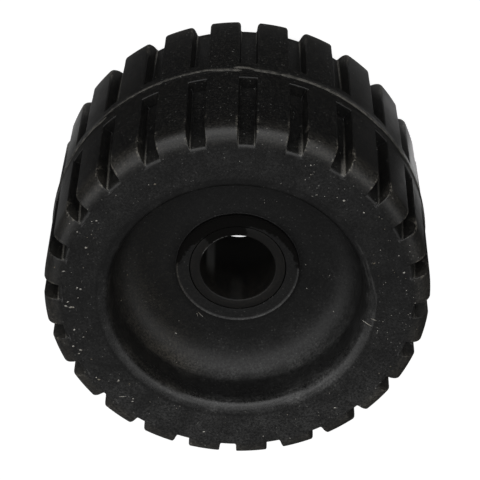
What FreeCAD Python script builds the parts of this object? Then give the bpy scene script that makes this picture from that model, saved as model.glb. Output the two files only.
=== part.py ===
import FreeCAD, Part
import math
import os

# Ribbed rubber roller for a boat trailer, standing on one end with its axis along Z.
# Lengths are millimetres. The origin is on the axis, at the bottom end face.

# Overall size, over the moulding line and between the two end faces
outer_diameter = 114.3
width = 74.6

# Tread: the thin raised moulding line, the slight fall from it to the shoulder, and the shoulder
line_height = 0.3
line_foot_width = 1.2
line_top_width = 0.5
tread_fall = 0.35
shoulder_radius = 5.2

# Grooves across each half of the tread, open at the end face, closed beside the middle band
# The depth is at the end face, and the floor rises from there to the band
groove_count = 24
groove_depth = 5.3
groove_floor_rise = 2.0
groove_floor_width = 4.78
groove_end_fillet = 0.4
middle_band_width = 9.6

# Lip of the dish: the end face falls inwards at this slope and rolls over into the wall
dish_mouth_radius = 37.4
lip_width = 3.5
lip_slope_deg = 24.0
lip_blend_radius = 3.0
dish_edge_radius = 3.2

# Dish: steep wall, deep rounded corner and flat floor
dish_depth = 19.7
dish_wall_draft_deg = 1.5
dish_corner_radius = 9.0

# Hub: the low round boss in the middle of the dish, round the seat of the bush
hub_rise = 1.0
hub_wall = 4.05
hub_edge_radius = 0.6

# Bush: the plain plastic sleeve in the hub, which runs on the shaft
bore_diameter = 22.5
bush_wall = 3.05
bush_fit_gap = 0.05
bore_chamfer = 0.4
bush_edge_chamfer = 0.25

# How far the groove cutters reach past the rubber
cutter_overrun = 2.0

# Values worked out from the sizes above
half_width = width / 2.0
floor_height = half_width - dish_depth
half_hub = floor_height + hub_rise
bore_radius = bore_diameter / 2.0
bush_radius = bore_radius + bush_wall
seat_radius = bush_radius + bush_fit_gap
hub_radius = seat_radius + hub_wall
line_radius = outer_diameter / 2.0
tread_radius = line_radius - line_height
shoulder_tread_radius = tread_radius - tread_fall
lip_radius = dish_mouth_radius + lip_width
mouth_height = half_width - lip_width * math.tan(math.radians(lip_slope_deg))
wall_lean = math.tan(math.radians(dish_wall_draft_deg))
wall_foot_radius = dish_mouth_radius - (mouth_height - floor_height) * wall_lean
groove_mouth_radius = shoulder_tread_radius - groove_depth
groove_spread = groove_floor_width / 2.0 / groove_mouth_radius
groove_end_height = middle_band_width / 2.0
groove_floor_slope = groove_floor_rise / (half_width - groove_end_height)
groove_pitch_deg = 360.0 / groove_count

axis = FreeCAD.Vector(0, 0, 1)
centre = FreeCAD.Vector(0, 0, 0)


def towards(start, end, distance):
    """Point at a distance from start on the way to end."""
    step = end.sub(start).normalize()
    return start.add(step.multiply(distance))


def rounded_outline(points, corner_radii):
    """Closed wire through the points, each corner rounded by a tangent arc of its own radius."""
    edges = []
    previous_end = None
    first_start = None
    for index, corner_radius in enumerate(corner_radii):
        corner = points[index]
        before = points[index - 1]
        after = points[(index + 1) % len(points)]
        to_before = before.sub(corner).normalize()
        to_after = after.sub(corner).normalize()
        half_turn = (math.pi - to_before.getAngle(to_after)) / 2.0
        setback = corner_radius * math.tan(half_turn)
        arc_start = towards(corner, before, setback)
        arc_end = towards(corner, after, setback)
        if previous_end is None:
            first_start = arc_start
        else:
            edges.append(Part.LineSegment(previous_end, arc_start).toShape())
        if corner_radius > 0:
            inward = to_before.add(to_after).normalize()
            to_centre = corner_radius / math.cos(half_turn)
            middle = corner.add(inward.multiply(to_centre - corner_radius))
            edges.append(Part.Arc(arc_start, middle, arc_end).toShape())
        previous_end = arc_end
    edges.append(Part.LineSegment(previous_end, first_start).toShape())
    return Part.Wire(edges)


def turned(corners):
    """Solid of revolution about Z of a section given by its corners."""
    points = [FreeCAD.Vector(radius, 0, height) for radius, height, _ in corners]
    corner_radii = [corner_radius for _, _, corner_radius in corners]
    section = Part.Face(rounded_outline(points, corner_radii))
    return section.revolve(centre, axis, 360)


def upper_section():
    """Corners of the upper half of the rubber, from the bush seat outwards to the moulding line."""
    return [
        (seat_radius, half_hub, 0),
        (hub_radius, half_hub, hub_edge_radius),
        (hub_radius, floor_height, 0),
        (wall_foot_radius, floor_height, dish_corner_radius),
        (dish_mouth_radius, mouth_height, dish_edge_radius),
        (lip_radius, half_width, lip_blend_radius),
        (shoulder_tread_radius, half_width, shoulder_radius),
        (tread_radius, line_foot_width / 2.0, 0),
        (line_radius, line_top_width / 2.0, 0),
    ]


def groove_cutter():
    """Solid that cuts one groove of the upper half, with radial walls and a floor that rises to the band."""
    inner = groove_mouth_radius - cutter_overrun
    outer = line_radius + cutter_overrun
    reach = outer * groove_spread
    low = groove_end_height
    high = half_width + cutter_overrun
    floor_at_band = groove_mouth_radius + groove_floor_rise
    floor_past_face = groove_mouth_radius - cutter_overrun * groove_floor_slope
    seen_from_the_end = Part.makePolygon(
        [
            FreeCAD.Vector(inner, -inner * groove_spread, low),
            FreeCAD.Vector(outer, -reach, low),
            FreeCAD.Vector(outer, reach, low),
            FreeCAD.Vector(inner, inner * groove_spread, low),
            FreeCAD.Vector(inner, -inner * groove_spread, low),
        ]
    )
    seen_from_the_side = rounded_outline(
        [
            FreeCAD.Vector(floor_at_band, -reach, low),
            FreeCAD.Vector(outer, -reach, low),
            FreeCAD.Vector(outer, -reach, high),
            FreeCAD.Vector(floor_past_face, -reach, high),
        ],
        [groove_end_fillet, 0, 0, 0],
    )
    channel = Part.Face(seen_from_the_end).extrude(FreeCAD.Vector(0, 0, high - low))
    scoop = Part.Face(seen_from_the_side).extrude(FreeCAD.Vector(0, 2.0 * reach, 0))
    return channel.common(scoop)


def groove_cutters():
    """All grooves, in line on the two halves."""
    upper = groove_cutter()
    lower = upper.mirror(centre, axis)
    cutters = []
    for index in range(groove_count):
        for cutter in (upper, lower):
            copy = cutter.copy()
            copy.rotate(centre, axis, (index + 0.5) * groove_pitch_deg)
            cutters.append(copy)
    return cutters


def roller_body():
    """The rubber roller in one piece: hub, dishes, faces and grooved tread."""
    upper = upper_section()
    lower = [(radius, -height, corner) for radius, height, corner in reversed(upper)]
    blank = turned(upper + lower)
    return blank.cut(groove_cutters())


def hub_bush():
    """The sleeve pressed into the hub, flush with it at both ends."""
    outer = bush_radius
    return turned(
        [
            (bore_radius, half_hub - bore_chamfer, 0),
            (bore_radius + bore_chamfer, half_hub, 0),
            (outer - bush_edge_chamfer, half_hub, 0),
            (outer, half_hub - bush_edge_chamfer, 0),
            (outer, bush_edge_chamfer - half_hub, 0),
            (outer - bush_edge_chamfer, -half_hub, 0),
            (bore_radius + bore_chamfer, -half_hub, 0),
            (bore_radius, bore_chamfer - half_hub, 0),
        ]
    )


def save(shape, node):
    """Stand a piece on the bottom end face and write it as one STEP file."""
    placed = shape.copy()
    placed.translate(FreeCAD.Vector(0, 0, half_width))
    if not placed.isValid():
        raise ValueError(node + " is not a valid solid")
    placed.exportStep(os.path.join("parts", node + ".step"))
    print(node, "solids", len(placed.Solids), "volume cm3", round(placed.Volume / 1000.0, 2))


os.makedirs("parts", exist_ok=True)
save(roller_body(), "rubber_roller")
save(hub_bush(), "hub_bush")
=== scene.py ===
import math
import random

import bmesh
import bpy
from mathutils import Matrix, Vector, noise
from mathutils.bvhtree import BVHTree


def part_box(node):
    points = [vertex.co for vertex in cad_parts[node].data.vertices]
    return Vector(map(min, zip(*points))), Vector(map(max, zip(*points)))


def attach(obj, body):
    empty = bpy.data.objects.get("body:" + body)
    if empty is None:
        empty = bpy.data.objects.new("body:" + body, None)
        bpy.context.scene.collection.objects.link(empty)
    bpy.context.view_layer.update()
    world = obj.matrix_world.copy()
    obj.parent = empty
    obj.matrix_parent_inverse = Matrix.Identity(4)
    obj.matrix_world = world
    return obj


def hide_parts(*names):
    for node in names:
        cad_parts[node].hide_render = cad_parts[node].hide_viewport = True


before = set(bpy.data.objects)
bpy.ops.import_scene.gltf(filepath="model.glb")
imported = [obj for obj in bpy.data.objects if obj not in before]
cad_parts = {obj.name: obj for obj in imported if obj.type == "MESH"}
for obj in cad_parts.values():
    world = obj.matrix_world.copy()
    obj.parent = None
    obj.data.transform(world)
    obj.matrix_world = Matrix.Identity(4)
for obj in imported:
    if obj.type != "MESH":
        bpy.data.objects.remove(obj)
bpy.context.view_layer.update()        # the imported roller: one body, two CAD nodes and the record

mm = 0.001
weld = 0.002 * mm        # vertices closer than this are one
rubberLow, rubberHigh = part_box("rubber_roller")
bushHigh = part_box("hub_bush")[1]
middle = Vector((0, 0, (rubberLow.z + rubberHigh.z) / 2))        # centre of the roller, on its axis


# Mesh helpers

def lineTo(mesh, pen, place):
    # a new edge from the pen to a place, where the pen is next
    end = mesh.verts.new(place)
    mesh.edges.new((pen, end))
    return end


def drawSection(mesh, corners, arcStep):
    # a chain of edges in the XZ plane through (radius, height, corner radius) rows
    # a rounded corner is the pen spun round the centre of its arc, arcStep degrees at a time
    points = [Vector((radius, 0, height)) for radius, height, _ in corners]
    pen = mesh.verts.new(points[0])
    for index in range(1, len(points) - 1):
        corner = points[index]
        cornerRadius = corners[index][2]
        back = (points[index - 1] - corner).normalized()
        ahead = (points[index + 1] - corner).normalized()
        turn = math.pi - back.angle(ahead)
        pen = lineTo(mesh, pen, corner + back * cornerRadius * math.tan(turn / 2))
        if cornerRadius > 0:
            arcCentre = corner + (back + ahead).normalized() * cornerRadius / math.cos(turn / 2)
            side = 1 if back.cross(ahead).y < 0 else -1
            steps = max(2, round(math.degrees(turn) / arcStep))
            arc = bmesh.ops.spin(mesh, geom=[pen], cent=arcCentre, axis=(0, side, 0), angle=turn, steps=steps)
            pen = [item for item in arc["geom_last"] if isinstance(item, bmesh.types.BMVert)][0]
    lineTo(mesh, pen, points[-1])


def divideLong(mesh, longest):
    # cuts every edge of a section that is longer than this into even lengths
    for edge in list(mesh.edges):
        cuts = math.ceil(edge.calc_length() / longest) - 1
        if cuts > 0:
            bmesh.ops.subdivide_edges(mesh, edges=[edge], cuts=cuts)


def turnSection(mesh, start, angle, steps):
    # turns a section to its start about the roller's axis, and spins it from there
    section = mesh.verts[:] + mesh.edges[:] + mesh.faces[:]
    bmesh.ops.rotate(mesh, verts=mesh.verts[:], cent=(0, 0, 0), matrix=Matrix.Rotation(start, 3, "Z"))
    bmesh.ops.spin(mesh, geom=section, cent=(0, 0, 0), axis=(0, 0, 1), angle=angle, steps=steps)


def joinMesh(mesh, part):
    # adds one bmesh to another, by way of a mesh that is thrown away
    data = bpy.data.meshes.new("part")
    part.to_mesh(data)
    part.free()
    mesh.from_mesh(data)
    bpy.data.meshes.remove(data)


def addObject(name, data):
    added = bpy.data.objects.new(name, data)
    bpy.context.scene.collection.objects.link(added)
    return added


def addMesh(mesh, name, material):
    # writes a bmesh to an object at the origin
    data = bpy.data.meshes.new(name)
    mesh.to_mesh(data)
    mesh.free()
    data.materials.append(material)
    return addObject(name, data)


def finishPiece(mesh, name, material, replaced=None):
    # a visible piece on the one body, with its slot and the CAD node that it stands for
    for face in mesh.faces:
        face.smooth = True
    piece = addMesh(mesh, name, material)
    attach(piece, "root")
    if replaced:
        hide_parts(replaced)
    print("made", name, "with", len(piece.data.polygons), "faces")
    return piece


# Rubber

rubber = {
    "grooves": 24,
    "grooveWidth": 4.75 * mm,
    "grooveMouth": 50.6 * mm,        # radius at which the width is measured; the section inside it has no grooves
    "floorAtFace": 51.8 * mm,        # radii of a groove's floor, at the end face and at the plain middle band
    "floorAtBand": 53.2 * mm,
    "faceEdge": 1.15 * mm,        # where the floor rolls over into the end face
    "bandHalf": 4.8 * mm,
    "shoulder": 5.2 * mm,
    "lineHeight": 0.3 * mm,
    "lineFootHalf": 0.6 * mm,
    "lineTopHalf": 0.25 * mm,
    "lineDrop": 0.1 * mm,        # the line lies this much lower than the CAD's, under the torn flash
    "treadFall": 0.35 * mm,
    "mouthRadius": 37.4 * mm,
    "lipWidth": 3.5 * mm,
    "lipSlope": math.radians(24),
    "lipBlend": 3.0 * mm,
    "mouthEdge": 3.2 * mm,
    "wallDraft": math.radians(1.5),
    "dishCorner": 9.0 * mm,
    "hubRise": 1.0 * mm,
    "hubWall": 4.05 * mm,
    "hubRim": 0.4 * mm,        # the raised flash round the top of the hub, its width and its tip
    "hubRimWidth": 0.75 * mm,
    "hubRimTip": 0.15 * mm,
    "hubRimEdges": (0.1 * mm, 0.08 * mm, 0.05 * mm),        # roundings at its foot, its tip and its side
    "hubFoot": 0.35 * mm,
    "seatGap": 0.05 * mm,        # between the bush and the rubber, and wider at its mouth
    "gapMouth": 0.18 * mm,
    "gapDepth": 1.5 * mm,
    "gapEdge": 0.05 * mm,
    "dustRoom": 0.1 * mm,        # the faces stay this much inside the CAD box, for the crumbs on them
    "wallFoot": 0.5 * mm,        # roundings that the Bevel modifier makes, here at the foot of the grooves' walls
    "endCorner": 0.125 * mm,        # in the upright corners at the closed end
    "softEdge": 0.35 * mm,        # on the lugs' edges
    "wornEdge": 1.5 * mm,        # the lugs' edges at the shoulder of the lower end, worn round
    "wornFrom": 24 * mm,        # the wear starts this far from the mid-plane, and is full this much further out
    "wornOver": 6 * mm,
    "lineRoom": 1 * mm,        # the moulding line stays sharp up to this far from the mid-plane
    "endRoom": 1 * mm,        # edges this near the band belong to the grooves' square ends
    "footShare": 0.4,        # the roundings take at most these shares of the walls' height
    "edgeShare": 0.28,
    "hollowBend": math.radians(50),        # how sharply an edge bends to count as hollow, or as outer
    "outerBend": math.radians(38),
    "edgeSegments": 3,
    "arcStep": 11,        # degrees
    "lugSteps": 6,
    "grooveSteps": 3,
    "longestStep": 2.5 * mm,
}
halfWidth = rubberHigh.z - middle.z - rubber["dustRoom"]
treadRadius = rubberHigh.x - rubber["lineHeight"]
shoulderTread = treadRadius - rubber["treadFall"]


def sharedSection():
    # corners of the upper half from the seat of the bush to the end face, heights from the mid-plane
    footEdge, tipEdge, sideEdge = rubber["hubRimEdges"]
    hubHalf = bushHigh.z - middle.z
    seat = bushHigh.x + rubber["seatGap"]
    hub = seat + rubber["hubWall"]
    rimTop = hubHalf + rubber["hubRim"]
    gapFloor = hubHalf - rubber["gapDepth"]
    floor = hubHalf - rubber["hubRise"]
    mouthHeight = halfWidth - rubber["lipWidth"] * math.tan(rubber["lipSlope"])
    wallFoot = rubber["mouthRadius"] - (mouthHeight - floor) * math.tan(rubber["wallDraft"])
    return [
        (seat, 0, 0),
        (seat, gapFloor, 0),
        (seat + rubber["gapMouth"], gapFloor, 0),
        (seat + rubber["gapMouth"], hubHalf, rubber["gapEdge"]),
        (hub - rubber["hubRimWidth"], hubHalf, footEdge),
        (hub - rubber["hubRimTip"], rimTop, tipEdge),
        (hub, rimTop - rubber["hubRimTip"], sideEdge),
        (hub, floor, rubber["hubFoot"]),
        (wallFoot, floor, rubber["dishCorner"]),
        (rubber["mouthRadius"], mouthHeight, rubber["mouthEdge"]),
        (rubber["mouthRadius"] + rubber["lipWidth"], halfWidth, rubber["lipBlend"]),
        (rubber["grooveMouth"], halfWidth, 0),
    ]


def bandSection():
    # corners from the ends of the grooves to the moulding line
    line = rubberHigh.x - rubber["lineDrop"]
    slope = rubber["treadFall"] / (halfWidth - rubber["lineFootHalf"])
    bandEdge = treadRadius - slope * (rubber["bandHalf"] - rubber["lineFootHalf"])
    return [
        (bandEdge, rubber["bandHalf"], 0),
        (treadRadius, rubber["lineFootHalf"], 0),
        (line, rubber["lineTopHalf"], 0),
        (line, 0, 0),
    ]


def wallHeight(fromMiddle):
    # height of a groove's walls at this distance from the mid-plane: full beside the band, nothing at the face
    rise = max(0.0, fromMiddle - halfWidth + rubber["shoulder"])
    top = shoulderTread - rubber["shoulder"] + math.sqrt(max(0.0, rubber["shoulder"] ** 2 - rise ** 2))
    outwards = (fromMiddle - rubber["bandHalf"]) / (halfWidth - rubber["bandHalf"])
    floor = rubber["floorAtBand"] + outwards * (rubber["floorAtFace"] - rubber["floorAtBand"])
    return max(0.0, top - floor)


def edgeRounding(edge):
    # how large a rounding this edge of a groove gets, smaller where the walls run out at the face
    fromMiddle = sum(abs(vert.co.z) for vert in edge.verts) / 2
    if fromMiddle < rubber["lineRoom"]:
        return 0.0
    bend = edge.calc_face_angle_signed()
    wall = wallHeight(fromMiddle)
    if bend < -rubber["hollowBend"] and fromMiddle < rubber["bandHalf"] + rubber["endRoom"]:
        upright = abs(edge.verts[0].co.xy.length - edge.verts[1].co.xy.length) > weld
        edge.smooth = upright        # the foot of the square end stays a crisp line
        return rubber["endCorner"] if upright else 0.0
    if bend < -rubber["hollowBend"]:
        return min(rubber["wallFoot"], rubber["footShare"] * wall)
    if bend > rubber["outerBend"]:
        worn = (fromMiddle - rubber["wornFrom"]) / rubber["wornOver"] if edge.verts[0].co.z < 0 else 0.0
        size = rubber["softEdge"] + min(1.0, max(0.0, worn)) * (rubber["wornEdge"] - rubber["softEdge"])
        return min(size, rubber["edgeShare"] * wall)
    return 0.0


def makeRubber(material):
    # the sectors of one lug and one groove, copied round the axis and mirrored to the lower half
    lugSection = sharedSection() + [(shoulderTread, halfWidth, rubber["shoulder"])] + bandSection()
    grooveFloor = [
        (rubber["floorAtFace"], halfWidth, rubber["faceEdge"]),
        (rubber["floorAtBand"], rubber["bandHalf"], 0),
    ]
    grooveSection = sharedSection() + grooveFloor + bandSection()
    pitch = 2 * math.pi / rubber["grooves"]
    grooveAngle = rubber["grooveWidth"] / rubber["grooveMouth"]
    lugAngle = pitch - grooveAngle
    mesh = bmesh.new()
    for corners, start, angle, steps in (
            (lugSection, -lugAngle / 2, lugAngle, rubber["lugSteps"]),
            (grooveSection, lugAngle / 2, grooveAngle, rubber["grooveSteps"])):
        sector = bmesh.new()
        drawSection(sector, corners, rubber["arcStep"])
        divideLong(sector, rubber["longestStep"])
        turnSection(sector, start, angle, steps)
        joinMesh(mesh, sector)
    copies = rubber["grooves"] - 1
    bmesh.ops.spin(mesh, geom=mesh.verts[:] + mesh.edges[:] + mesh.faces[:], cent=(0, 0, 0), axis=(0, 0, 1),
                   angle=pitch * copies, steps=copies, use_duplicate=True)
    bmesh.ops.remove_doubles(mesh, verts=mesh.verts[:], dist=weld)
    bmesh.ops.mirror(mesh, geom=mesh.verts[:] + mesh.edges[:] + mesh.faces[:], matrix=Matrix.Identity(4),
                     merge_dist=weld, axis="Z")
    bmesh.ops.remove_doubles(mesh, verts=mesh.verts[:], dist=weld)
    openEdges = [edge for edge in mesh.edges if len(edge.link_faces) == 1]
    walls = bmesh.ops.holes_fill(mesh, edges=openEdges, sides=0)        # the walls of the grooves
    bmesh.ops.recalc_face_normals(mesh, faces=mesh.faces[:])
    weights = mesh.edges.layers.float.new("bevel_weight_edge")
    for edge in mesh.edges:
        edge[weights] = edgeRounding(edge) / rubber["wornEdge"]
    openEdges = [edge for edge in mesh.edges if len(edge.link_faces) != 2]
    print("filled", len(walls["faces"]), "groove walls, edges left open:", len(openEdges))
    bmesh.ops.translate(mesh, verts=mesh.verts[:], vec=middle)
    surface = BVHTree.FromBMesh(mesh)
    piece = finishPiece(mesh, "rubber_body", material, "rubber_roller")
    softened = piece.modifiers.new("softEdges", "BEVEL")
    softened.limit_method = "WEIGHT"
    softened.width = rubber["wornEdge"]
    softened.segments = rubber["edgeSegments"]
    softened.use_clamp_overlap = False
    softened.harden_normals = True
    return surface


# Moulding flash

flash = {
    "footHalf": 0.72 * mm,
    "topHalf": 0.4 * mm,
    "height": 0.3 * mm,
    "root": 0.3 * mm,        # how deep a ridge is set into the tread
    "edge": 0.06 * mm,
    "arcStep": 45,        # degrees
    "stepDegrees": 0.5,
    "tearsPerDegree": 0.9,        # about one to a millimetre along the line, and the same across it
    "tearsAcross": 0.9 / mm,
    "tearDepth": 0.3,        # shares of the height and of the width that a tear takes or adds
    "tearSpread": 0.2,
    "wanderPerDegree": 0.25,        # the line strays to both sides, once in four degrees
    "wander": 0.12 * mm,
    "taperDegrees": 2.0,        # a strand thins out towards its ends, to this share of its size
    "endSize": 0.25,
    "strands": [        # where the torn line runs: azimuth in degrees and offset from the mid-plane in mm
        [(84.5, 0.6), (90.0, 0.2), (95.0, -0.3), (110.0, -0.25), (131.0, -0.4)],
        [(72.5, 0.55), (80.0, 0.1), (83.0, -0.7), (87.0, -1.3)],
        [(129.0, 0.9), (131.5, 0.9), (134.0, 0.1), (150.0, 0.0), (180.0, 0.0), (270.0, 0.0), (330.0, 0.0),
         (380.0, 0.0), (398.0, 0.2)],
        [(37.0, 0.7), (45.0, 0.5), (60.0, 0.3), (73.5, 0.5)],
    ],
}


def strandOffset(strand, azimuth):
    # how far a strand lies from the mid-plane at an azimuth, in mm
    for (start, low), (end, high) in zip(strand, strand[1:]):
        if azimuth <= end:
            return low + (high - low) * (azimuth - start) / (end - start)
    return strand[-1][1]


def makeStrand(strand):
    # a low ridge spun along the tread in short steps, then torn a little by noise
    first, last = strand[0][0], strand[-1][0]
    foot, root, top = flash["footHalf"], treadRadius - flash["root"], treadRadius + flash["height"]
    mesh = bmesh.new()
    corners = [(root, -foot, 0), (treadRadius, -foot, 0), (top, -flash["topHalf"], flash["edge"]),
               (top, flash["topHalf"], flash["edge"]), (treadRadius, foot, 0), (root, foot, 0)]
    drawSection(mesh, corners, flash["arcStep"])
    mesh.edges.new([vert for vert in mesh.verts if len(vert.link_edges) == 1])
    bmesh.ops.contextual_create(mesh, geom=mesh.edges[:])
    steps = round((last - first) / flash["stepDegrees"])
    turnSection(mesh, math.radians(first), math.radians(steps * flash["stepDegrees"]), steps)
    bmesh.ops.recalc_face_normals(mesh, faces=mesh.faces[:])
    for vert in mesh.verts:
        azimuth = math.degrees(math.atan2(vert.co.y, vert.co.x))
        while azimuth < first - flash["stepDegrees"] / 5:
            azimuth += 360
        radius = vert.co.xy.length
        tear = noise.noise(Vector((azimuth * flash["tearsPerDegree"], vert.co.z * flash["tearsAcross"], 3.0)))
        wander = noise.noise(Vector((azimuth * flash["wanderPerDegree"], 7.0, len(strand))))
        fromEnd = min(azimuth - first, last - azimuth)
        taper = min(1.0, flash["endSize"] + fromEnd / flash["taperDegrees"])
        vert.co.z *= (1.0 + flash["tearSpread"] * tear) * taper
        vert.co.z += strandOffset(strand, azimuth) * mm + flash["wander"] * wander
        if radius > treadRadius:
            lower = (1 - taper) * flash["height"] + max(0.0, -tear) * flash["tearDepth"] * flash["height"]
            vert.co.xy *= (radius - min(lower, radius - treadRadius)) / radius
    return mesh


def makeFlash(material):
    mesh = bmesh.new()
    for strand in flash["strands"]:
        joinMesh(mesh, makeStrand(strand))
    bmesh.ops.translate(mesh, verts=mesh.verts[:], vec=middle)
    finishPiece(mesh, "moulding_flash", material)


# Crumbs of dried dirt

crumbs = {
    "placed": [        # azimuth, radius in mm, length, breadth and turn of the crumbs that stand out
        (178.2, 48.3, 2.3, 0.7, -8), (177.6, 49.9, 1.1, 0.65, -25), (176.0, 49.2, 0.9, 0.5, 20),
        (164.1, 51.0, 1.1, 0.5, 10), (214.2, 45.2, 1.1, 0.7, 60), (209.7, 49.7, 1.0, 0.8, 0),
        (208.5, 49.9, 0.6, 0.5, 40), (187.5, 48.8, 0.9, 0.7, 50), (196.1, 49.3, 1.1, 0.6, -20),
        (193.8, 50.9, 0.8, 0.7, 0), (197.2, 50.3, 0.9, 0.5, 0), (223.7, 46.7, 0.7, 0.6, 0),
        (224.3, 47.6, 0.9, 0.5, 10), (115.9, 45.4, 0.7, 0.6, 0), (152.8, 46.8, 0.8, 0.7, 0),
        (141.3, 48.2, 0.7, 0.5, 0), (170.0, 46.5, 0.7, 0.6, 0), (170.5, 45.5, 0.8, 0.6, 0),
        (44.0, 45.7, 0.9, 0.7, 0), (35.6, 47.1, 0.7, 0.6, 0), (7.7, 49.3, 1.0, 0.6, 20),
        (14.4, 41.8, 0.9, 0.4, 30), (253.5, 47.9, 1.0, 0.5, 0), (-56.4, 47.7, 0.9, 0.5, 0),
        (191.2, 46.9, 0.6, 0.4, 0), (201.0, 47.8, 0.5, 0.4, 0), (218.0, 43.5, 0.6, 0.4, 0),
        (61.0, 50.1, 0.6, 0.4, 0), (179.6, 33.1, 0.7, 0.4, 0), (190.4, 36.1, 0.8, 0.4, 90),
        (227.4, 30.5, 0.9, 0.4, 0), (220.2, 48.4, 3.0, 0.3, 0), (232.0, 20.6, 3.4, 0.22, -52),
        (230.0, 21.2, 1.6, 0.2, -75), (-16.0, 38.9, 3.8, 0.35, 80), (-13.0, 40.4, 2.4, 0.3, 84),
    ],
    "height": 0.09 * mm,
    "sunk": (0.3, 0.4),        # how deep the placed and the scattered ones are pressed in, as a share of their height
    "roughness": 0.25,        # how far a crumb's corners stray, as a share of its size
    "scattered": 270,        # tries; noise keeps some places clean
    "patchiness": 1.7,
    "cleanBelow": (-0.5, 0.4),
    "onFace": 0.9,        # share of them on the end face, the rest lie in the dish
    "faceRing": (41, 55.5),        # radii in mm
    "dishRing": (19, 41),
    "small": (0.10, 0.25),        # half sizes of the scattered ones in mm
    "breadth": (0.6, 1.0),
    "flatness": 0.6,
    "seed": 11,
}


def addCrumb(mesh, surface, angle, radius, halfSize, sunk, turn, dice):
    # a squashed lump of twenty facets, pressed into the surface below a place
    start = Vector((math.cos(angle) * radius * mm, math.sin(angle) * radius * mm, rubberHigh.z + 5 * mm))
    place, normal, _, _ = surface.ray_cast(start, Vector((0, 0, -1)))
    lump = bmesh.ops.create_icosphere(mesh, subdivisions=1, radius=1.0)
    for vert in lump["verts"]:
        vert.co *= 1.0 + dice.uniform(-crumbs["roughness"], crumbs["roughness"])
    stand = normal.to_track_quat("Z", "Y").to_matrix().to_4x4() @ Matrix.Rotation(turn, 4, "Z")
    spot = Matrix.Translation(place - normal * sunk * halfSize[2]) @ stand @ Matrix.Diagonal((*halfSize, 1.0))
    bmesh.ops.transform(mesh, matrix=spot, verts=lump["verts"])


def makeCrumbs(material, surface):
    dice = random.Random(crumbs["seed"])
    placedSunk, scatteredSunk = crumbs["sunk"]
    mesh = bmesh.new()
    for azimuth, radius, length, breadth, turn in crumbs["placed"]:
        halfSize = (length / 2 * mm, breadth / 2 * mm, crumbs["height"])
        addCrumb(mesh, surface, math.radians(azimuth), radius, halfSize, placedSunk, math.radians(turn), dice)
    for _ in range(crumbs["scattered"]):
        angle = dice.uniform(0, 2 * math.pi)
        spot = Vector((math.cos(angle) * crumbs["patchiness"], math.sin(angle) * crumbs["patchiness"], 4.0))
        if noise.noise(spot) < dice.uniform(*crumbs["cleanBelow"]):
            continue
        ring = crumbs["faceRing"] if dice.random() < crumbs["onFace"] else crumbs["dishRing"]
        radius = dice.uniform(*ring)
        size = dice.uniform(*crumbs["small"]) * mm
        breadth = size * dice.uniform(*crumbs["breadth"])
        halfSize = (size, breadth, min(crumbs["height"], size * crumbs["flatness"]))
        turn = dice.uniform(0, math.pi)
        addCrumb(mesh, surface, angle, radius, halfSize, scatteredSunk, turn, dice)
    for vert in mesh.verts:        # nothing stands above the CAD box
        vert.co.z = min(vert.co.z, rubberHigh.z)
    bmesh.ops.recalc_face_normals(mesh, faces=mesh.faces[:])
    finishPiece(mesh, "dirt_crumbs", material)


# Bush

bush = {
    "boreRadius": 11.25 * mm,
    "boreChamfer": 0.4 * mm,
    "edgeChamfer": 0.25 * mm,
    "arcStep": 30,        # degrees
    "steps": 144,
}


def makeBush(material):
    half = bushHigh.z - middle.z
    bore, outer = bush["boreRadius"], bushHigh.x
    mesh = bmesh.new()
    corners = [(bore, 0, 0), (bore, half, bush["boreChamfer"]), (outer, half, bush["edgeChamfer"]), (outer, 0, 0)]
    drawSection(mesh, corners, bush["arcStep"])
    bmesh.ops.mirror(mesh, geom=mesh.verts[:] + mesh.edges[:], matrix=Matrix.Identity(4), merge_dist=weld, axis="Z")
    bmesh.ops.spin(mesh, geom=mesh.verts[:] + mesh.edges[:], cent=(0, 0, 0), axis=(0, 0, 1), angle=2 * math.pi,
                   steps=bush["steps"], use_merge=True)
    bmesh.ops.remove_doubles(mesh, verts=mesh.verts[:], dist=weld)
    bmesh.ops.recalc_face_normals(mesh, faces=mesh.faces[:])
    bmesh.ops.translate(mesh, verts=mesh.verts[:], vec=middle)
    finishPiece(mesh, "bush_sleeve", material, "hub_bush")


# Material helpers

ior = 1.5        # typical of rubber and nylon, and near enough for dry mud


def sRgb(code):
    # a hex colour as a linear RGBA colour
    parts = [int(code[i:i + 2], 16) / 255 for i in (1, 3, 5)]
    return [c / 12.92 if c <= 0.04045 else ((c + 0.055) / 1.055) ** 2.4 for c in parts] + [1.0]


def addNode(tree, kind, *values, named=None, **settings):
    # one shader node with its settings: values and links go into its sockets in order, or by name
    node = tree.nodes.new("ShaderNode" + kind)
    for key, setting in settings.items():
        setattr(node, key, setting)
    pairs = list(zip([socket for socket in node.inputs if socket.enabled], values))
    pairs += [(node.inputs[key], value) for key, value in (named or {}).items()]
    for socket, value in pairs:
        if isinstance(value, bpy.types.Node):
            value = next(output for output in value.outputs if output.enabled)
        if isinstance(value, bpy.types.NodeSocket):
            tree.links.new(value, socket)
        else:
            socket.default_value = value
    return node


def placeInfo(tree):
    # where a point is: its place, and its distances from the axis, from the mid-plane and along each axis
    place = addNode(tree, "TexCoord").outputs["Object"]
    axes = addNode(tree, "SeparateXYZ", place).outputs
    flat = addNode(tree, "CombineXYZ", axes["X"], axes["Y"])
    radius = addNode(tree, "VectorMath", flat, operation="LENGTH")
    azimuth = addNode(tree, "Math", axes["Y"], axes["X"], operation="ARCTAN2")
    up = addNode(tree, "Math", axes["Z"], middle.z, operation="SUBTRACT")
    return {
        "place": place, "flat": flat, "x": axes["X"], "y": axes["Y"], "radius": radius, "azimuth": azimuth, "up": up,
        "around": addNode(tree, "CombineXYZ", azimuth, radius, up),        # the same place in turned coordinates
        "aside": addNode(tree, "Math", axes["X"], operation="ABSOLUTE"),
        "fromMiddle": addNode(tree, "Math", up, operation="ABSOLUTE"),
    }


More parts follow.
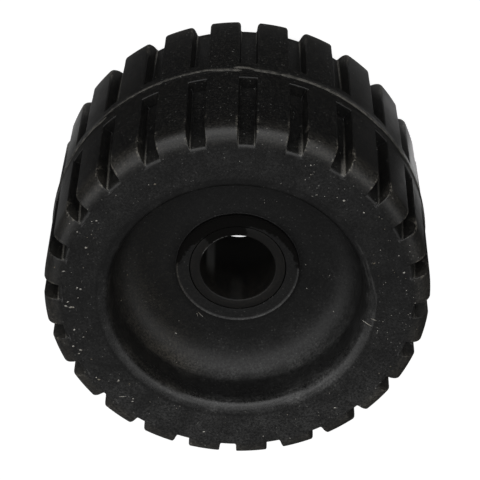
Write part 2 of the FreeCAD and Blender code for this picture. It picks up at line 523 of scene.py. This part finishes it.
def mask(tree, at, *factors):
    # the product of smooth steps: the name of a distance, where the step begins and ends in mm (an azimuth in
    # degrees), and its levels if not 0 and 1; a pattern's node takes plain numbers, and other factors multiply as is
    product = None
    for factor in factors:
        if isinstance(factor, tuple):
            value, start, end, *levels = factor
            unit = 1.0
            if isinstance(value, str):
                unit = math.radians(1) if value == "azimuth" else mm
                value = at[value]
            factor = addNode(tree, "MapRange", value, start * unit, end * unit, *levels,
                             interpolation_type="SMOOTHSTEP")
        product = factor if product is None else addNode(tree, "Math", product, factor, operation="MULTIPLY")
    return product


def addLayers(tree, at, level, layers):
    # a level with layers added to it, each of them the product of its steps
    for steps in layers:
        level = addNode(tree, "Math", level, mask(tree, at, *steps), operation="ADD")
    return level


def newMaterial(name):
    material = bpy.data.materials.new(name)
    material.use_nodes = True
    material.node_tree.nodes.clear()
    return material, material.node_tree


# Painted shade on the hub

hubShade = {
    "ragged": 1.1111 * mm,        # size of the wobbles of its edge, and how far they reach inwards and outwards
    "reach": 1.1 * mm,
    "blur": 0.6,        # mm
    "unshaded": (0.6 * mm, -2.8 * mm, 0),        # centre of the round patch left unshaded beside the crescent
    "unshadedRadius": ("x", -10, -17, 17.1 * mm, 18.3 * mm),        # its radius grows towards -X
    "shadeDisc": (-3 * mm, 14.5 * mm, 0),        # centre of a round patch of painted shade that joins the crescent
    "shadeDiscRadius": 7.0,        # mm
    "lean": 0.12,        # the slope of the line where the crescent ends
    "ends": ("leaning", -1, 2),
    "trace": ("y", -14, -4, 0.0, 0.25),        # a faint painted shade on the rest of the hub, less of it towards -Y
    "onTop": [("up", 17.5, 18.0), ("radius", 18.7, 18.3)],
    "bare": 0.5,        # roughness and specular level of the bare bush, and under the thickest painted shade
    "roughness": 0.85,
    "shine": 0.12,
}


def hubShadeMask(tree, at):
    # painted shade: a black crescent on the top of the hub, outside a circle set off to one side, with a ragged edge
    wobble = addNode(tree, "TexNoise", at["place"], 1 / hubShade["ragged"], 3.0)
    sway = addNode(tree, "Math", wobble, 2 * hubShade["reach"], -hubShade["reach"], operation="MULTIPLY_ADD")
    fromClean = addNode(tree, "VectorMath", at["flat"], hubShade["unshaded"], operation="DISTANCE")
    fromClean = addNode(tree, "Math", fromClean, mask(tree, at, hubShade["unshadedRadius"]), operation="SUBTRACT")
    fromBlot = addNode(tree, "VectorMath", at["flat"], hubShade["shadeDisc"], operation="DISTANCE")
    at = dict(at, fromClean=addNode(tree, "Math", fromClean, sway, operation="ADD"),
              fromBlot=addNode(tree, "Math", fromBlot, sway, operation="ADD"),
              leaning=addNode(tree, "Math", at["x"], hubShade["lean"], at["y"], operation="MULTIPLY_ADD"))
    outside = mask(tree, at, ("fromClean", -hubShade["blur"], hubShade["blur"]))
    inShadeDisc = mask(tree, at, ("fromBlot", hubShade["shadeDiscRadius"] + hubShade["blur"], hubShade["shadeDiscRadius"] - hubShade["blur"]))
    spread = addNode(tree, "Math", outside, inShadeDisc, operation="MAXIMUM")
    spread = mask(tree, at, spread, hubShade["ends"])
    spread = addNode(tree, "Math", spread, mask(tree, at, hubShade["trace"]), operation="MAXIMUM")
    return mask(tree, at, spread, *hubShade["onTop"])


# Rubber's finish

rubberFinish = {
    "rubber": "#0d0d0d",
    "greyDust": "#696968",
    "tanDust": "#6f695d",
    "lint": "#989894",
    # colour of the painted shade on the hub
    "hubShade": "#0f0e0d",
    "blotch": 8.3333 * mm,        # patches where dust lies thicker
    "grain": 0.66667 * mm,        # the skin of the mould: about 0.05 mm in fact and too fine to show, so coarser here
    "grit": 0.47619 * mm,        # grains of dust, coarser than real ones for the same reason
    "lintSpacing": 1.9231 * mm,
    "fineSpacing": 0.86957 * mm,
    "scuff": (0.2, 0.90909 * mm, 1.42857 * mm),        # scuffs on the lip: 0.2 rad round the axis, and their breadth
    "grainDepth": 0.1 * mm,
    "grainStrength": 0.5,
    "shoulderCentre": (51.3 * mm, 32.1 * mm, 0),        # radius and height of the arc of the lugs' shoulder
    "dullPatch": (22 * mm, -7 * mm, 0),        # painted shade: dull dark spots on the dish floor, on both sides of the hub
    "cloudy": (0.3, 0.7, 0.4, 1.3),        # steps on the patterns: where each begins and ends, and its levels
    "grainy": (0.3, 0.75, 0.0, 2.2),
    "gritty": (0.45, 1.0),
    "scuffPatches": (0.5, 0.68, 0.0, 0.09),
    "scuffLines": (0.56, 0.68, 0.0, 0.22),
    "packedGrain": (0.35, 0.6, 0.3, 0.9),
    # painted glints on the lugs' edges at the shoulder
    "glintPatches": (0.42, 0.55),
    "glintGrain": (0.45, 0.6, 0.0, 0.7),
    "lintSize": (0.11, 0.06),        # shares of the spacing
    "lintPatches": (0.42, 0.62, 0.06, 0.5),
    "lintInDish": 0.35,
    "fineSize": (0.3, 0.15),
    "fineLevel": (0.7, 1.0, 0.0, 0.2),
    "finePatches": (0.4, 0.6, 0.3, 1.0),
    "skin": (0.3, 0.7, 0.36, 0.44),        # roughness of the skin of the mould
    "cornerSide": (0.5, 0.48),        # a heap of dust fills one corner of a groove, not the other
    "packedTo": 36 * mm,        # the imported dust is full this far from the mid-plane
}
onFace = [("radius", 40.6, 41.8), ("fromMiddle", 28, 34)]
rubberMarks = {        # steps of each mark, and lists of layers that add up
    "outsideDish": [("radius", 40.6, 41.8)],
    "filmAndPaintedLight": [        # grey film of dust on the end faces; thicker towards -Y as painted light, the face lighter on that side
        [*onFace, ("y", 20, 45, 0.036, 0.053)],
        [*onFace, ("y", 0, -50, 0.0, 0.125)],
        [*onFace, ("radius", 51.2, 52.8), ("y", 20, -2, 0.0, 0.11)],        # painted reflection on the shoulders of the lugs, towards -Y
        # painted highlights on the shoulders at both sides of +Y
        [*onFace, ("radius", 52.8, 54), ("aside", 12, 34, 0.0, 0.07), ("y", 22, 34)],
        [("radius", 36, 37.5), ("radius", 41.5, 40.5), ("x", 0, 20), ("y", -5, -20, 0.0, 0.06)],        # painted highlight on the lip at +X -Y
        [("radius", 17.5, 17.8), ("radius", 18.6, 18.4), ("up", 18.7, 18.8, 0.0, 0.3)],        # painted highlight on the rim of the hub
        [("radius", 50, 53, 0.007, 0.0)],        # and a trace everywhere but on the tread
    ],
    "settledDustAndHighlight": [        # dust that has settled in the dish, and a painted highlight high on the wall at -Y
        [("y", 22, -20, 0.0, 0.085), ("radius", 23, 29), ("radius", 41, 40)],
        [("radius", 33.8, 35.6), ("radius", 37.2, 36.4), ("y", -8, -30, 0.0, 0.1)],
    ],
    "settledDepth": [[("fromMiddle", 23.4, 25.5, 1.0, 0.1)], [("fromMiddle", 32, 34)]],        # less on the steep wall
    "grit": [("radius", 50, 53, 0.05, 0.058)],
    "onLip": [("radius", 36.6, 37.4), ("radius", 41.2, 40.4)],
    "rubbed": [("x", 34, 37.5), ("y", -18, -8)],        # where the lip has long scuffs
    "polished": [("y", -8, -26, 0.03, 0.12)],        # how much smoother the lip is than the skin
    "dullDish": [("radius", 37.3, 36.6, 0.0, 0.1)],        # and how much rougher the dish
    "packedFrom": ("aside", 15, 38, 25 * mm, 8 * mm),        # where packed dust begins, deeper in at both sides
    "corner": [("apart", 0.42, 0.15), ("above", 0.7, 0.3), ("above", -0.35, -0.15), ("fromMiddle", 37.1, 36.8),
               ("x", 39, 34, 0.35, 1.0)],
    "heap": [("inside", 1.5, 0.5), ("inside", -0.3, 0.0), ("fromMiddle", 27, 34), ("fromMiddle", 37.1, 36.8),
             ("above", 0.9, 0.4), ("above", -0.5, -0.3), ("x", 12, 32, 0.0, 1.6), ("y", 33, 38), ("up", 0, 1)],
    # painted glints on the lugs' edges at the shoulder
    "lugEdgeGlint": [("apart", 0.9, 0.3), ("fromArc", 4.85, 5.05), ("above", 1.0, 2.0), ("fromMiddle", 25, 31)],
    "brown": [[("x", -8, -26), ("radius", 39, 36)], [("radius", 50, 54, 0.0, 0.7)]],        # where the dust is tan
    "byHub": [("radius", 24, 19.5), ("aside", 7, 15, 0.0, 0.35)],        # painted shade: where the dish floor beside the hub is made duller and darker
    "spots": [("fromPatch", 9, 3, 0.0, 0.35)],
    "onDishFloor": [("radius", 18.6, 18.8), ("fromMiddle", 19, 18.5)],
}


def grooveDustAndEdgeGlints(tree, at):
    # dust packed in the corners of the grooves near their open ends, a heap of it in one corner of the grooves at
    # +X +Y, and painted glints on the lugs' edges at the shoulder
    halfPitch = math.pi / rubber["grooves"]
    fromLug = addNode(tree, "Math", at["azimuth"], halfPitch, operation="PINGPONG")
    fromGroove = addNode(tree, "Math", halfPitch, fromLug, operation="SUBTRACT")
    along = addNode(tree, "Math", fromGroove, at["radius"], operation="MULTIPLY")
    grooveHalf = rubber["grooveWidth"] / rubber["grooveMouth"] / 2
    wallAt = addNode(tree, "Math", at["radius"], grooveHalf, operation="MULTIPLY")
    inside = addNode(tree, "Math", wallAt, along, operation="SUBTRACT")        # from the wall into the groove
    floor = addNode(tree, "MapRange", at["fromMiddle"], rubber["bandHalf"], halfWidth, rubber["floorAtBand"],
                    rubber["floorAtFace"])
    profile = addNode(tree, "CombineXYZ", at["radius"], at["fromMiddle"])
    at = dict(at, inside=inside, apart=addNode(tree, "Math", inside, operation="ABSOLUTE"),
              above=addNode(tree, "Math", at["radius"], floor, operation="SUBTRACT"),
              fromArc=addNode(tree, "VectorMath", profile, rubberFinish["shoulderCentre"], operation="DISTANCE"))
    start = mask(tree, at, rubberMarks["packedFrom"])
    reach = addNode(tree, "MapRange", at["fromMiddle"], start, rubberFinish["packedTo"],
                    interpolation_type="SMOOTHSTEP")
    turns = addNode(tree, "Math", at["azimuth"], rubber["grooves"] / (2 * math.pi), operation="MULTIPLY")
    side = addNode(tree, "Math", turns, operation="FRACT")        # under a half in one corner of a groove
    heap = mask(tree, at, (side, *rubberFinish["cornerSide"]), *rubberMarks["heap"])
    packed = addNode(tree, "Math", mask(tree, at, reach, *rubberMarks["corner"]), heap, operation="ADD")
    return packed, mask(tree, at, *rubberMarks["lugEdgeGlint"])


def rubberMaterial():
    # moulded natural rubber, black with carbon: a satin skin from the mould, a grey film of dust on the end faces,
    # scuffs round the lip of the dish, fine specks all over, painted highlights and a black crescent of painted shade
    # on the hub
    material, tree = newMaterial("mouldedNaturalRubber")
    finish, marks = rubberFinish, rubberMarks
    at = placeInfo(tree)

    # noise of two sizes, each with its scale, detail and roughness
    patches = addNode(tree, "TexNoise", at["place"], 1 / finish["blotch"], 6.0, 0.65)
    grain = addNode(tree, "TexNoise", at["place"], 1 / finish["grain"], 4.0, 0.7)

    # the film of dust with its painted light, broken up by patches and grain, and grit over everything
    grainy = mask(tree, at, (grain, *finish["grainy"]))
    filmAndPaintedLight = addLayers(tree, at, 0.0, marks["filmAndPaintedLight"])
    depth = addLayers(tree, at, 0.0, marks["settledDepth"])
    settledDustAndHighlight = mask(tree, at, addLayers(tree, at, 0.0, marks["settledDustAndHighlight"]), depth)
    filmAndPaintedLight = addNode(tree, "Math", filmAndPaintedLight, settledDustAndHighlight, operation="ADD")
    grit = addNode(tree, "TexVoronoi", at["place"], 1 / finish["grit"]).outputs["Color"]
    grit = addNode(tree, "SeparateXYZ", grit).outputs["X"]
    stretched = addNode(tree, "VectorMath", at["around"], finish["scuff"], operation="DIVIDE")
    scuffed = addNode(tree, "TexNoise", stretched, 1.0, 3.0)
    dirtAndPaintedLight = addLayers(tree, at, 0.0, [
        [filmAndPaintedLight, (patches, *finish["cloudy"]), grainy],
        [(grit, *finish["gritty"]), *marks["grit"]],
        [*marks["onLip"], (patches, *finish["scuffPatches"]), grainy],
        [*marks["onLip"], (scuffed, *finish["scuffLines"]), *marks["rubbed"]],
    ])

    # dust in the grooves, and painted glints on the lugs' edges
    packed, edges = grooveDustAndEdgeGlints(tree, at)
    dirtAndPaintedLight = addLayers(tree, at, dirtAndPaintedLight, [
        [packed, (grain, *finish["packedGrain"])],
        [edges, (patches, *finish["glintPatches"]), (grain, *finish["glintGrain"])],
    ])

    # pale specks of lint, and fainter ones, finer and closer
    lint = addNode(tree, "TexVoronoi", at["place"], 1 / finish["lintSpacing"])
    fine = addNode(tree, "TexVoronoi", at["place"], 1 / finish["fineSpacing"])
    faint = addNode(tree, "SeparateXYZ", fine.outputs["Color"]).outputs["X"]
    mostlyOnFace = addLayers(tree, at, finish["lintInDish"], [marks["outsideDish"]])
    specks = addLayers(tree, at, 0.0, [
        [(lint, *finish["lintSize"]), (patches, *finish["lintPatches"]), mostlyOnFace],
        [(fine, *finish["fineSize"]), (faint, *finish["fineLevel"]), (patches, *finish["finePatches"])],
    ])

    # colour
    brown = addLayers(tree, at, 0.0, marks["brown"])
    dustTint = addNode(tree, "Mix", brown, sRgb(finish["greyDust"]), sRgb(finish["tanDust"]), data_type="RGBA")
    colour = addNode(tree, "Mix", dirtAndPaintedLight, sRgb(finish["rubber"]), dustTint, data_type="RGBA")
    colour = addNode(tree, "Mix", specks, colour, sRgb(finish["lint"]), data_type="RGBA")
    # painted shade: the black crescent on the top of the hub
    hubShaded = hubShadeMask(tree, at)
    colour = addNode(tree, "Mix", hubShaded, colour, sRgb(finish["hubShade"]), data_type="RGBA")

    # gloss: dull and darker where shade is painted, on the hub and on the dish floor beside it
    beside = addNode(tree, "CombineXYZ", at["aside"], at["y"])
    at["fromPatch"] = addNode(tree, "VectorMath", beside, finish["dullPatch"], operation="DISTANCE")
    spots = mask(tree, at, *marks["spots"])
    dull = addNode(tree, "Math", mask(tree, at, *marks["byHub"]), spots, operation="MAXIMUM")
    dull = addNode(tree, "Math", hubShaded, mask(tree, at, dull, *marks["onDishFloor"]), operation="ADD")
    skin = addLayers(tree, at, 0.0, [[(patches, *finish["skin"])], marks["dullDish"]])
    polished = mask(tree, at, *marks["onLip"], *marks["polished"])
    skin = addNode(tree, "Math", skin, polished, operation="SUBTRACT")
    rough = addNode(tree, "Mix", dull, skin, hubShade["roughness"], data_type="FLOAT")
    bump = addNode(tree, "Bump", named={
        "Height": grain, "Strength": finish["grainStrength"], "Distance": finish["grainDepth"]})
    shader = addNode(tree, "BsdfPrincipled", named={
        "Base Color": colour, "Roughness": rough, "IOR": ior, "Normal": bump,
        "Specular IOR Level": mask(tree, at, (dull, 0.0, 1.0, hubShade["bare"], hubShade["shine"]))})
    addNode(tree, "OutputMaterial", shader)
    return material


# Finish of the bush, of the torn flash and of the crumbs

bushFinish = {
    "dark": "#050403",
    "pale": "#1a1712",
    # pale tint of the painted light in the bore and on its chamfer
    "paintedLight": "#8a8a88",
    # colour of the painted shade on the top of the bush
    "hubShade": "#0f0e0d",
    "grain": 0.83333 * mm,        # coarser than the real one, which is too fine to show
    "rings": (0.25, 0.55556 * mm, 3.3333 * mm),        # marks of the turn on a shaft: 0.25 rad long, and their breadth
    "mottled": (0.3, 0.7),        # steps on the patterns
    "ringed": (0.35, 0.62),
    "chamferGrain": (0.4, 0.6),
    "onBore": [("radius", 11.35, 11.3)],
    "boreLight": [        # painted light in the bore: a pale film, more of it deep down, a painted reflection at one side and a faint painted highlight
        [("up", -18, 2, 0.26, 0.015)],
        [("azimuth", -158, -150), ("azimuth", -132, -140), ("up", -16, -10), ("up", 12, -5, 0.0, 0.7)],
        [("azimuth", -110, -100), ("azimuth", -84, -92), ("up", 2, 10, 0.0, 0.035)],
    ],
    # painted glint on the chamfer at the top of the bore
    "chamferGlint": [("radius", 11.75, 11.6), ("up", 18.15, 18.25), ("azimuth", 96, 104), ("azimuth", 156, 148, 0.0, 0.5)],
}


def plasticMaterial():
    # moulded nylon, brown-black, with the same black crescent of painted shade as the hub round it, and painted light
    # in its bore
    material, tree = newMaterial("mouldedNylon")
    at = placeInfo(tree)
    # painted shade: the black crescent, as on the hub
    hubShaded = hubShadeMask(tree, at)
    grain = addNode(tree, "TexNoise", at["place"], 1 / bushFinish["grain"], 4.0)
    turned = addNode(tree, "VectorMath", at["around"], bushFinish["rings"], operation="DIVIDE")
    rings = addNode(tree, "TexNoise", turned, 1.0, 2.0)
    # painted light in the bore and a painted glint on its chamfer
    paintedLight = mask(tree, at, *bushFinish["onBore"], addLayers(tree, at, 0.0, bushFinish["boreLight"]))
    edge = mask(tree, at, *bushFinish["chamferGlint"], (grain, *bushFinish["chamferGrain"]))
    plain = mask(tree, at, (grain, *bushFinish["mottled"]), (rings, *bushFinish["ringed"]))
    colour = sRgb(bushFinish["dark"])
    for cover, tint in ((plain, "pale"), (paintedLight, "paintedLight"), (hubShaded, "hubShade"), (edge, "paintedLight")):
        colour = addNode(tree, "Mix", cover, colour, sRgb(bushFinish[tint]), data_type="RGBA")
    rough = addNode(tree, "Mix", hubShaded, hubShade["bare"], hubShade["roughness"], data_type="FLOAT")
    shader = addNode(tree, "BsdfPrincipled", named={
        "Base Color": colour, "Roughness": rough, "IOR": ior,
        "Specular IOR Level": mask(tree, at, (hubShaded, 0.0, 1.0, hubShade["bare"], hubShade["shine"]))})
    addNode(tree, "OutputMaterial", shader)
    return material


mottled = {
    "dustyTornRubber": {        # the rough torn flash of the mould, matt, with grey-tan dust held on it
        "size": 1.42857 * mm,        # the dust's own grain is too fine to show
        "detail": 5.0,
        "step": (0.35, 0.65),
        "tints": ("#2c2b28", "#4e4c47"),
        "roughness": 0.7,
    },
    "driedMud": {        # dried mud and lint, dull, tan to pale grey from crumb to crumb
        "size": 4.1667 * mm,
        "detail": 1.0,
        "step": (0.35, 0.55),
        "tints": ("#6e6656", "#aeaba4"),
        "roughness": 0.9,
    },
}


def mottledMaterial(name):
    # a rough surface whose colour wanders between two tints
    finish = mottled[name]
    material, tree = newMaterial(name)
    place = addNode(tree, "TexCoord").outputs["Object"]
    tone = addNode(tree, "TexNoise", place, 1 / finish["size"], finish["detail"])
    darker, paler = finish["tints"]
    colour = addNode(tree, "Mix", mask(tree, {}, (tone, *finish["step"])), sRgb(darker), sRgb(paler), data_type="RGBA")
    shader = addNode(tree, "BsdfPrincipled", named={
        "Base Color": colour, "Roughness": finish["roughness"], "IOR": ior})
    addNode(tree, "OutputMaterial", shader)
    return material


# Stage, light and camera

studio = {
    "worldLevel": 0.16,
    "horizon": 0.4,        # share of it at the horizon, and the height from which it is full
    "fullAt": 0.55,
    "floorHalf": 3.0,
    "paperLevel": 0.9,
    "paperShaded": "#a0a0a0",
    "paperBounced": "#c8c8c8",
    "paperInGloss": 0.014,        # how bright the paper is in the rubber's gloss
    "slant": 0.5,        # how the bright parts at the sides lean, in the distance called slanted
    "glossLayers": [        # added to that on the paper close round the roller
        [("radius", 48, 57), ("y", 45, 0), ("x", 60, -60, 0.02, 0.12)],        # on the -Y side
        [("radius", 48, 57), ("radius", 67, 57, 0.0, 0.086),        # by the foot, most of it on both sides
         ("aside", 28, 50, 1.0, 3.6), ("aside", 48, 56, 1.0, 2.2)],
        [("x", 54, 66, 0.0, 0.056), ("slanted", 50, 64), ("radius", 86, 75)],        # for the shoulders at +X +Y
        [("x", -56, -70, 0.0, 0.014), ("radius", 86, 75)],
        [("x", 55, 61, 0.0, 1.5), ("slanted", 44, 36), ("radius", 76, 64)],        # for the bright rims at both sides
        [("x", -55, -61, 0.0, 0.5), ("slanted", 44, 36), ("radius", 76, 64)],
    ],
    "softboxes": {        # direction from the roller, distance, size and level
        "frontSoftbox": ((0.0, 0.97, 0.24), 1.3, (2.2, 1.0), 1.6),
        "overheadSoftbox": ((0.0, 0.62, 0.79), 1.3, (2.2, 0.9), 0.75),
        "leftSoftbox": ((-0.7, 0.13, 0.7), 1.3, (1.2, 1.0), 0.85),
        "rightSoftbox": ((0.7, 0.13, 0.7), 1.3, (1.2, 0.9), 0.72),
        "tableReflector": ((0.0, -1.0, 0.15), 1.3, (2.4, 0.8), 0.065),
    },
}
white = sRgb("#ffffff")


def paperMaterial():
    # white seamless paper: white to the camera with a faint shadow, dim in the rubber's gloss, pale to bounced light
    material, tree = newMaterial("whiteSeamlessPaper")
    rays = addNode(tree, "LightPath").outputs
    at = placeInfo(tree)
    at["slanted"] = addNode(tree, "Math", at["aside"], studio["slant"], at["y"], operation="MULTIPLY_ADD")
    gloss = addLayers(tree, at, studio["paperInGloss"], studio["glossLayers"])
    dim = addNode(tree, "Emission", white, gloss)
    pale = addNode(tree, "BsdfDiffuse", sRgb(studio["paperBounced"]))
    bounced = addNode(tree, "MixShader", rays["Is Glossy Ray"], pale, dim)
    bright = addNode(tree, "Emission", white, studio["paperLevel"])
    shaded = addNode(tree, "AddShader", bright, addNode(tree, "BsdfDiffuse", sRgb(studio["paperShaded"])))
    seen = addNode(tree, "Math", rays["Is Camera Ray"], rays["Is Transmission Ray"], operation="MAXIMUM")
    addNode(tree, "OutputMaterial", addNode(tree, "MixShader", seen, bounced, shaded))
    return material


def makeFloor():
    mesh = bmesh.new()
    bmesh.ops.create_grid(mesh, x_segments=1, y_segments=1, size=studio["floorHalf"])
    addMesh(mesh, "floor", paperMaterial())


def makeWorld():
    # white to the camera, dimmer near the horizon for the light on the roller
    world = bpy.data.worlds.new("studio")
    bpy.context.scene.world = world
    world.use_nodes = True
    tree = world.node_tree
    tree.nodes.clear()
    rays = addNode(tree, "LightPath").outputs
    seen = addNode(tree, "Math", rays["Is Camera Ray"], rays["Is Transmission Ray"], operation="MAXIMUM")
    heading = addNode(tree, "SeparateXYZ", addNode(tree, "TexCoord").outputs["Generated"]).outputs["Z"]
    full = studio["worldLevel"]
    level = mask(tree, {}, (heading, 0.0, studio["fullAt"], studio["horizon"] * full, full))
    lit = addNode(tree, "Background", white, level)
    addNode(tree, "OutputWorld", addNode(tree, "MixShader", seen, lit, addNode(tree, "Background", white, 1.0)))


def softbox(name, direction, distance, size, level):
    # an even white panel that faces the roller; its level is its brightness, where 1 is white paper in full light
    data = bpy.data.lights.new(name, "AREA")
    data.shape = "RECTANGLE"
    data.size, data.size_y = size
    data.energy = level * math.pi * size[0] * size[1]
    light = addObject(name, data)
    away = Vector(direction).normalized()
    light.location = middle + away * distance
    light.rotation_mode = "QUATERNION"
    light.rotation_quaternion = away.to_track_quat("Z", "Y")


view = {
    "azimuth": 84.097,        # degrees from +X; the camera stands at +Y and above, turned half round
    "elevation": 59.008,
    "roll": -178.390,
    "distance": 624.9 * mm,
    "lens": 152.88,
    "sensor": 36,
    "clip": (0.05, 50),
    "shift": (0.00295, -0.0080),
}


def makeCamera():
    data = bpy.data.cameras.new("camera")
    data.lens = view["lens"]
    data.sensor_width = view["sensor"]
    data.shift_x, data.shift_y = view["shift"]
    data.clip_start, data.clip_end = view["clip"]
    camera = addObject("camera", data)
    a, e = math.radians(view["azimuth"]), math.radians(view["elevation"])
    away = Vector((math.cos(a) * math.cos(e), math.sin(a) * math.cos(e), math.sin(e)))
    level = (-away).to_track_quat("-Z", "Y")
    camera.rotation_mode = "QUATERNION"
    camera.rotation_quaternion = level @ Matrix.Rotation(math.radians(view["roll"]), 4, "Z").to_quaternion()
    camera.location = middle + away * view["distance"]
    bpy.context.scene.camera = camera


makeCamera()
makeFloor()
makeWorld()
for lampName, lamp in studio["softboxes"].items():
    softbox(lampName, *lamp)
bpy.context.scene.view_settings.view_transform = "Standard"
print("camera, light and stage are set")
rubberSurface = makeRubber(rubberMaterial())
makeFlash(mottledMaterial("dustyTornRubber"))
makeCrumbs(mottledMaterial("driedMud"), rubberSurface)
makeBush(plasticMaterial())
